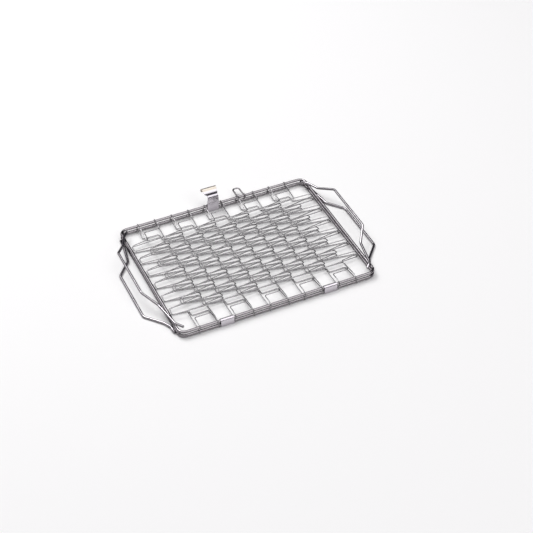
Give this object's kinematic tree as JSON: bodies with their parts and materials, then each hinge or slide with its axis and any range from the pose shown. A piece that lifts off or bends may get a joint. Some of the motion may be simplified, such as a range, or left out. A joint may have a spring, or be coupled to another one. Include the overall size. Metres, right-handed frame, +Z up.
{
  "type": "grill basket",
  "caption": "Flat rectangular wire grill basket: two hinged frames strung with hairpin wire mesh, grips at both ends, a sheet catch and a hanging loop.",
  "frame": {"origin": "centre of the bounding box in plan, at the level of the surface the basket lies on", "axes": "+X along the long side, towards the right-hand grips; +Y from the hinge clips to the catch; +Z up, square to the closed mesh"},
  "size_m": [0.397, 0.2854, 0.0355],
  "materials": {
    "frame_wire": "bright drawn and plated wire",
    "mesh_wire": "bright drawn and plated wire",
    "handle_wire": "bright drawn and plated wire",
    "loop_wire": "bright drawn and plated wire",
    "clip_sheet": "bright rolled sheet",
    "catch_sheet": "bright rolled sheet"
  },
  "bodies": {
    "lower_half": {"lower_frame": "frame_wire", "lower_coil_1": "mesh_wire", "lower_coil_2": "mesh_wire", "lower_coil_3": "mesh_wire", "lower_coil_4": "mesh_wire", "lower_coil_5": "mesh_wire", "lower_coil_6": "mesh_wire", "lower_coil_7": "mesh_wire", "lower_coil_8": "mesh_wire", "lower_coil_9": "mesh_wire", "lower_coil_10": "mesh_wire", "hinge_clip_left": "clip_sheet", "hinge_clip_right": "clip_sheet", "lower_handle_left": "handle_wire", "lower_handle_right": "handle_wire"},
    "upper_half": {"upper_frame": "frame_wire", "upper_coil_1": "mesh_wire", "upper_coil_2": "mesh_wire", "upper_coil_3": "mesh_wire", "upper_coil_4": "mesh_wire", "upper_coil_5": "mesh_wire", "upper_coil_6": "mesh_wire", "upper_coil_7": "mesh_wire", "upper_coil_8": "mesh_wire", "upper_coil_9": "mesh_wire", "upper_coil_10": "mesh_wire", "upper_handle_left": "handle_wire", "upper_handle_right": "handle_wire"},
    "catch": {"catch_lever": "catch_sheet"},
    "loop": {"hanging_loop": "loop_wire"}
  },
  "joints": [
    {"name": "half_hinge", "type": "hinge", "parent": "lower_half", "child": "upper_half", "pos_m": [0, -0.13898, 0.0107], "axis": [1, 0, 0], "range_deg": [0, 175]},
    {"name": "catch_hinge", "type": "hinge", "parent": "upper_half", "child": "catch", "pos_m": [0, 0.11702, 0.0107], "axis": [1, 0, 0], "range_deg": [-75, 0]},
    {"name": "loop_hinge", "type": "hinge", "parent": "upper_half", "child": "loop", "pos_m": [0.0498, 0.11702, 0.0107], "axis": [1, 0, 0], "range_deg": [-55, 115]}
  ]
}
